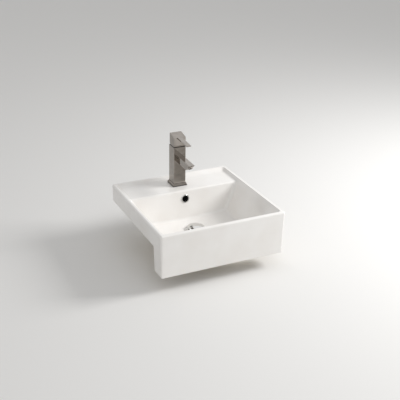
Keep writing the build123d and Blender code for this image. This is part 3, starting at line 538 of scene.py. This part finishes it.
class PlateFinish(bpy.types.PropertyGroup):
    plate: bpy.props.FloatVectorProperty(
        name="Plate",
        description="Colour of the chromium",
        subtype="COLOR",
        default=linear("#97918b")[:3],
        min=0,
        max=1,
    )
    plate_haze: bpy.props.FloatVectorProperty(
        name="Haze",
        description="Colour of the chromium under a breath of haze",
        subtype="COLOR",
        default=linear("#a19b95")[:3],
        min=0,
        max=1,
    )
    # Painted shade: the foot's chromium is a darker copy of the tap's plate, for the shade and dark
    # reflections on the foot; the plating itself is no thinner.
    foot_plate_painted_darker: bpy.props.FloatVectorProperty(
        name="Foot plate",
        description="Colour of the thinner chromium of the tap's foot",
        subtype="COLOR",
        default=linear("#76706a")[:3],
        min=0,
        max=1,
    )
    foot_haze_painted_darker: bpy.props.FloatVectorProperty(
        name="Foot haze",
        description="Colour of that chromium under a breath of haze",
        subtype="COLOR",
        default=linear("#7f7973")[:3],
        min=0,
        max=1,
    )
    # Painted light: the chromium of the waste and the overflow ring is a lighter copy of the tap's plate;
    # the plating itself is no brighter.
    waste_plate_painted_lighter: bpy.props.FloatVectorProperty(
        name="Waste plate",
        description="Colour of the brighter chromium of the waste and the overflow ring",
        subtype="COLOR",
        default=linear("#d6d6d4")[:3],
        min=0,
        max=1,
    )
    waste_haze_painted_lighter: bpy.props.FloatVectorProperty(
        name="Waste haze",
        description="Colour of that chromium under a breath of haze",
        subtype="COLOR",
        default=linear("#dededc")[:3],
        min=0,
        max=1,
    )
    haze_size: bpy.props.FloatProperty(
        name="Haze size",
        description="Width of the patches of haze",
        default=18 * MM,
        unit="LENGTH",
    )
    buffing_wave: bpy.props.FloatProperty(
        name="Buffing wave",
        description="Width of the waves left by buffing",
        default=14 * MM,
        unit="LENGTH",
    )
    wave_depth: bpy.props.FloatProperty(
        name="Wave depth",
        description="Depth of those waves",
        default=0.01 * MM,
        unit="LENGTH",
        precision=6,
    )


class ThreadSizes(bpy.types.PropertyGroup):
    waste_pitch: bpy.props.FloatProperty(
        name="Waste pitch",
        description="Pitch of the waste tube's thread",
        default=2.309 * MM,
        unit="LENGTH",
    )
    stud_pitch: bpy.props.FloatProperty(
        name="Stud pitch",
        description="Pitch of the studs' thread",
        default=1.0 * MM,
        unit="LENGTH",
    )


class StageSettings(bpy.types.PropertyGroup):
    floor: bpy.props.FloatVectorProperty(
        name="Floor",
        description="Colour of the floor",
        subtype="COLOR",
        default=linear("#e9e8e6")[:3],
        min=0,
        max=1,
    )
    key_power: bpy.props.FloatProperty(
        name="Key lamp",
        description="Power of the large lamp on the right",
        default=49.0,
        unit="POWER",
    )
    fill_power: bpy.props.FloatProperty(
        name="Fill lamp",
        description="Power of the lamp from the front",
        default=6.5,
        unit="POWER",
    )
    sky_strength: bpy.props.FloatProperty(
        name="Sky",
        description="Strength of the even light all round",
        default=0.53,
    )


class WASHBASIN_OT_glaze_basin(bpy.types.Operator):
    """Glazes the basin casting"""

    bl_idname = "washbasin.glaze_basin"
    bl_label = "Glaze the basin"

    def execute(self, context):
        paint_nodes(("basin",), glazed_vitreous_china(context.scene.washbasin_glaze))
        return {"FINISHED"}


class WASHBASIN_OT_plate_metal(bpy.types.Operator):
    """Plates the tap, the waste and the overflow ring with chromium"""

    bl_idname = "washbasin.plate_metal"
    bl_label = "Plate the metalwork"

    def execute(self, context):
        finish = context.scene.washbasin_plate
        tap = chromium_plate("chromium_plate_on_brass", finish.plate, finish.plate_haze, finish)
        # Painted light: the waste and the overflow ring get a lighter copy of the same chromium plate.
        waste = chromium_plate("chromium_plate_painted_lighter", finish.waste_plate_painted_lighter, finish.waste_haze_painted_lighter, finish)
        # Painted shade: the foot gets a darker copy of the same chromium plate.
        foot = chromium_plate("chromium_plate_painted_darker", finish.foot_plate_painted_darker, finish.foot_haze_painted_darker, finish)
        paint_nodes(CHROMED, tap)
        paint_nodes(("tap_foot",), foot)
        paint_nodes(PAINTED_LIGHTER_CHROMED, waste)
        return {"FINISHED"}


class WASHBASIN_OT_finish_small_parts(bpy.types.Operator):
    """Finishes the brass, rubber, steel, ceramic and plastic pieces"""

    bl_idname = "washbasin.finish_small_parts"
    bl_label = "Finish the small parts"

    def execute(self, context):
        paint_nodes(BRASS, turned_brass())
        paint_nodes(RUBBER, moulded_epdm_rubber())
        paint_nodes(STEEL, drawn_stainless_steel())
        paint_nodes(ALUMINA, lapped_alumina())
        paint_nodes(ACETAL, moulded_acetal())
        paint_nodes(("screw_cap",), moulded_abs("moulded_grey_abs", "#868685", "#949492"))
        paint_nodes(("aerator_insert",), moulded_abs("moulded_black_abs", "#2a2a2a", "#383837"))
        return {"FINISHED"}


class WASHBASIN_OT_thread_waste_tube(bpy.types.Operator):
    """Cuts the thread and the overflow slots of the waste tube"""

    bl_idname = "washbasin.thread_waste_tube"
    bl_label = "Thread the waste tube"

    def execute(self, context):
        low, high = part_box("waste_tube")
        pitch = context.scene.washbasin_threads.waste_pitch
        centre = ((low[0] + high[0]) / 2, (low[1] + high[1]) / 2)
        crest = (high[0] - low[0]) / 2
        thread_depth = 0.64 * pitch
        root = crest - thread_depth
        bore = 17 * MM
        throat = 18.35 * MM
        throat_length = 14 * MM
        plain_length = 26 * MM
        outlet_length = 30 * MM
        outlet_inset = 0.35 * MM
        chamfer = 1 * MM
        outlet = crest - outlet_inset
        outlet_top = low[2] + outlet_length
        step = high[2] - throat_length
        plain = high[2] - plain_length
        outline = [(bore, low[2] + chamfer), (bore + chamfer, low[2]), (outlet - chamfer, low[2])]
        outline += [(outlet, low[2] + chamfer), (outlet, outlet_top)]
        outline += thread_flank(crest, root, pitch, outlet_top, plain)
        outline += [(crest, plain), (crest, high[2]), (throat, high[2]), (throat, step), (bore, step)]
        tube = spun(outline, centre, 96)
        brass = bpy.data.materials["turned_brass"]
        piece = keep_piece(tube, "waste_tube_threaded", brass, "fixed", ["waste_tube"])
        slots = bmesh.new()
        slot_count = 4
        slot_reach = 10 * MM
        slot_width = 9 * MM
        slot_height = 12 * MM
        slot_middle = high[2] - 17.5 * MM
        size = Matrix.Diagonal((slot_reach, slot_width, slot_height, 1))
        for side in range(slot_count):
            turn = Matrix.Rotation(side * 2 * math.pi / slot_count, 4, "Z")
            across = turn @ Vector((crest, 0, 0)) + Vector((centre[0], centre[1], slot_middle))
            bmesh.ops.create_cube(slots, size=1, matrix=Matrix.Translation(across) @ turn @ size)
        cut_away(piece, slots)
        return {"FINISHED"}


class WASHBASIN_OT_thread_studs(bpy.types.Operator):
    """Cuts the threads of the two fixing studs"""

    bl_idname = "washbasin.thread_studs"
    bl_label = "Thread the studs"

    def execute(self, context):
        low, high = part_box("fixing_stud")
        crest = (high[1] - low[1]) / 2
        pitch = context.scene.washbasin_threads.stud_pitch
        thread_depth = 0.6 * pitch
        root = crest - thread_depth
        lead = 0.4 * MM
        core = 0.01 * MM
        both = bmesh.new()
        for x in (low[0] + crest, high[0] - crest):
            outline = [(core, low[2]), (root, low[2])]
            outline += thread_flank(crest, root, pitch, low[2] + lead, high[2] - lead)
            outline += [(root, high[2]), (core, high[2])]
            stud = spun(outline, (x, (low[1] + high[1]) / 2), 24)
            holder = bpy.data.meshes.new("stud_holder")
            stud.to_mesh(holder)
            stud.free()
            both.from_mesh(holder)
            bpy.data.meshes.remove(holder)
        steel = bpy.data.materials["drawn_stainless_steel"]
        keep_piece(both, "fixing_stud_threaded", steel, "fixed", ["fixing_stud"])
        return {"FINISHED"}


class WASHBASIN_OT_free_plug_spring(bpy.types.Operator):
    """Draws the plug's spring as a piece of its own, on the fixed body, in place of the CAD node"""

    bl_idname = "washbasin.free_plug_spring"
    bl_label = "Free the plug's spring"

    def execute(self, context):
        coil = bmesh.new()
        coil.from_mesh(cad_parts["plug_spring"].data)
        steel = bpy.data.materials["drawn_stainless_steel"]
        piece = keep_piece(coil, "plug_spring_coil", steel, "fixed", ["plug_spring"])
        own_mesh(piece)
        return {"FINISHED"}


class WASHBASIN_OT_set_stage(bpy.types.Operator):
    """Builds the floor, the lamps, the sky and the camera"""

    bl_idname = "washbasin.set_stage"
    bl_label = "Set the stage"

    def execute(self, context):
        stage = context.scene.washbasin_stage
        build_floor(stage)
        build_sky(stage)
        build_lamps(stage)
        build_camera()
        return {"FINISHED"}


def build_floor(stage):
    """A wide pale floor just under the object's lowest point."""
    half_width = 6.0
    gap = 0.2 * MM
    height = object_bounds()[0][2] - gap
    shape = bmesh.new()
    bmesh.ops.create_grid(shape, x_segments=1, y_segments=1, size=half_width)
    bmesh.ops.translate(shape, verts=shape.verts, vec=(0, 0, height))
    mesh = bpy.data.meshes.new("floor")
    shape.to_mesh(mesh)
    shape.free()
    floor = bpy.data.objects.new("floor", mesh)
    bpy.context.scene.collection.objects.link(floor)
    material, tree, _ = new_material("matt_pale_floor")
    inputs = {"Base Color": linear_of(stage.floor), "Roughness": 0.9}
    finish_surface(tree, add_node(tree, "ShaderNodeBsdfPrincipled", inputs=inputs))
    mesh.materials.append(material)
    floor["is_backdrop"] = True


def build_sky(stage):
    """Even light all round; straight to the camera and in reflections it is the pale backdrop."""
    world = bpy.data.worlds.new("studio")
    bpy.context.scene.world = world
    world.use_nodes = True
    tree = world.node_tree
    tree.nodes.clear()
    rays = add_node(tree, "ShaderNodeLightPath").outputs
    seen = math_of(tree, "MAXIMUM", rays["Is Camera Ray"], rays["Is Glossy Ray"])
    seen = math_of(tree, "MAXIMUM", seen, rays["Is Transmission Ray"])
    white = linear("#ffffff")
    light = add_node(tree, "ShaderNodeBackground", inputs={"Color": white, "Strength": stage.sky_strength})
    backdrop = add_node(tree, "ShaderNodeBackground", inputs={"Color": white, "Strength": 1.0})
    links = {0: seen, 1: light.outputs[0], 2: backdrop.outputs[0]}
    mixed = add_node(tree, "ShaderNodeMixShader", links=links)
    add_node(tree, "ShaderNodeOutputWorld", links={"Surface": mixed.outputs[0]})


def lamp(name, place, aim, width, power):
    """A square area lamp, aimed at a point."""
    data = bpy.data.lights.new(name, "AREA")
    data.size = width
    data.energy = power
    item = bpy.data.objects.new(name, data)
    item.location = place
    item.rotation_euler = (Vector(aim) - Vector(place)).to_track_quat("-Z", "Y").to_euler()
    bpy.context.scene.collection.objects.link(item)


def build_lamps(stage):
    """A large soft lamp to the right, and a weaker one from the front."""
    lamp("key_lamp", place=(2.1, -0.45, 1.5), aim=(0, 0.15, 0), width=0.9, power=stage.key_power)
    lamp("fill_lamp", place=(-0.3, -2.2, 2.0), aim=(0, 0.1, 0), width=1.4, power=stage.fill_power)


def build_camera():
    """The photograph's viewpoint, fitted to the basin's corners."""
    place = (-1.1117, -2.1604, 1.2459)
    yaw = math.radians(25.882)
    pitch = math.radians(24.794)
    roll = math.radians(0.982)
    flat = Vector((math.sin(yaw), math.cos(yaw), 0))
    ahead = math.cos(pitch) * flat - math.sin(pitch) * Vector((0, 0, 1))
    level = Vector((math.cos(yaw), -math.sin(yaw), 0))
    upright = level.cross(ahead)
    right = math.cos(roll) * level + math.sin(roll) * upright
    up = -math.sin(roll) * level + math.cos(roll) * upright
    turn = Matrix((right, up, -ahead)).transposed().to_4x4()
    data = bpy.data.cameras.new("camera")
    data.sensor_width = 36.0
    data.lens = 71.66
    data.clip_end = 50.0
    camera = bpy.data.objects.new("camera", data)
    camera.matrix_world = Matrix.Translation(place) @ turn
    bpy.context.scene.collection.objects.link(camera)
    bpy.context.scene.camera = camera
    bpy.context.scene.view_settings.view_transform = "Standard"


class WASHBASIN_PT_tools(bpy.types.Panel):
    """Lists the washbasin's steps and their settings"""

    bl_idname = "WASHBASIN_PT_tools"
    bl_label = "Washbasin"
    bl_space_type = "VIEW_3D"
    bl_region_type = "UI"
    bl_category = "Washbasin"

    def draw(self, context):
        for step in STEPS:
            self.layout.operator(step.bl_idname)
        for group in SETTINGS:
            column = self.layout.column()
            for name in group.__annotations__:
                column.prop(getattr(context.scene, SETTINGS[group]), name)


SETTINGS = {
    GlazeFinish: "washbasin_glaze",
    PlateFinish: "washbasin_plate",
    ThreadSizes: "washbasin_threads",
    StageSettings: "washbasin_stage",
}
STEPS = (
    WASHBASIN_OT_glaze_basin,
    WASHBASIN_OT_plate_metal,
    WASHBASIN_OT_finish_small_parts,
    WASHBASIN_OT_thread_waste_tube,
    WASHBASIN_OT_thread_studs,
    WASHBASIN_OT_free_plug_spring,
    WASHBASIN_OT_set_stage,
)


def register():
    for group, name in SETTINGS.items():
        bpy.utils.register_class(group)
        setattr(bpy.types.Scene, name, bpy.props.PointerProperty(type=group))
    for step in STEPS:
        bpy.utils.register_class(step)
    bpy.utils.register_class(WASHBASIN_PT_tools)


def unregister():
    bpy.utils.unregister_class(WASHBASIN_PT_tools)
    for step in reversed(STEPS):
        bpy.utils.unregister_class(step)
    for group, name in SETTINGS.items():
        delattr(bpy.types.Scene, name)
        bpy.utils.unregister_class(group)


def main():
    register()
    bpy.ops.washbasin.glaze_basin()
    bpy.ops.washbasin.plate_metal()
    bpy.ops.washbasin.finish_small_parts()
    bpy.ops.washbasin.thread_waste_tube()
    bpy.ops.washbasin.thread_studs()
    bpy.ops.washbasin.free_plug_spring()
    bpy.ops.washbasin.set_stage()


if __name__ == "__main__":
    main()
